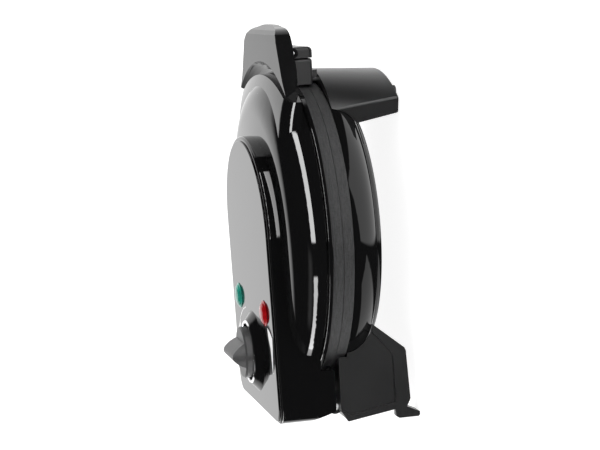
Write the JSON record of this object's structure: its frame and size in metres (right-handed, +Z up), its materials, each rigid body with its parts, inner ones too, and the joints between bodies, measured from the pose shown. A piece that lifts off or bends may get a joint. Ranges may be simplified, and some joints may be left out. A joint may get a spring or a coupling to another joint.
{
  "type": "donut maker",
  "caption": "Round electric mini donut maker: hinged lid with control dial, lamps and handle over a base with ring moulds, curved front leg and rear legs.",
  "frame": {"origin": "middle of the footprint, on the surface that the feet stand on", "axes": "+Z up, -Y towards the lid handle and front leg, +Y towards the hinge, +X to the right seen from the handle; lid shut"},
  "size_m": [0.224, 0.29, 0.1268],
  "materials": {
    "gloss_black": "polished piano-black moulding",
    "satin_black": "satin black moulding, fine spark texture",
    "panel_black": "polished black plate",
    "knob_black": "satin charcoal black",
    "cast_nonstick": "dark non-stick coated die casting",
    "steel": "zinc-plated steel",
    "chrome_trim": "bright silver trim",
    "heater_tube": "oxidised steel sheath",
    "ceramic": "white ceramic",
    "reflector_sheet": "mill-finish sheet",
    "rubber_pad": "grey rubber",
    "green_lens": "translucent green lens",
    "red_lens": "translucent red lens",
    "lamp_glass": "clear lamp glass",
    "phenolic": "dark phenolic moulding"
  },
  "bodies": {
    "base": {"base_housing": "gloss_black", "lower_plate": "cast_nonstick", "lower_element": "heater_tube", "lower_element_ends": "ceramic", "lower_reflector": "reflector_sheet", "lower_plate_screws": "steel", "front_leg": "satin_black", "front_leg_screws": "steel", "front_pads": "rubber_pad", "left_rear_leg": "satin_black", "right_rear_leg": "satin_black", "hinge_block": "satin_black", "rear_leg_screws": "steel", "rear_cover": "satin_black", "rear_cover_screws": "steel", "terminal_block": "ceramic", "hinge_pin": "steel", "cord_gland": "rubber_pad", "latch_keeper": "satin_black"},
    "lid": {"lid_housing": "gloss_black", "upper_plate": "cast_nonstick", "upper_element": "heater_tube", "upper_element_ends": "ceramic", "upper_reflector": "reflector_sheet", "upper_plate_screws": "steel", "bridge_housing": "gloss_black", "lid_knuckles": "steel", "control_panel": "panel_black", "dial_bezel": "panel_black", "trim_ring": "chrome_trim", "thermostat": "phenolic", "green_lens": "green_lens", "red_lens": "red_lens", "green_lamp": "lamp_glass", "red_lamp": "lamp_glass", "lid_handle": "gloss_black", "handle_screws": "steel", "latch_pin": "steel", "thermal_fuse": "ceramic"},
    "latch": {"latch": "satin_black"},
    "dial": {"knob": "knob_black", "thermostat_shaft": "steel"}
  },
  "joints": [
    {"name": "lid_hinge", "type": "hinge", "parent": "base", "child": "lid", "pos_m": [0, 0.134, 0.061], "axis": [-1, 0, 0], "range_deg": [0, 100]},
    {"name": "latch_swing", "type": "hinge", "parent": "lid", "child": "latch", "pos_m": [0, -0.1235, 0.0721], "axis": [-1, 0, 0], "range_deg": [0, 45]},
    {"name": "dial_turn", "type": "hinge", "parent": "lid", "child": "dial", "pos_m": [0, 0.09898, 0.10578], "axis": [0, 0.019, 0.9998], "range_deg": [0, 270]}
  ]
}
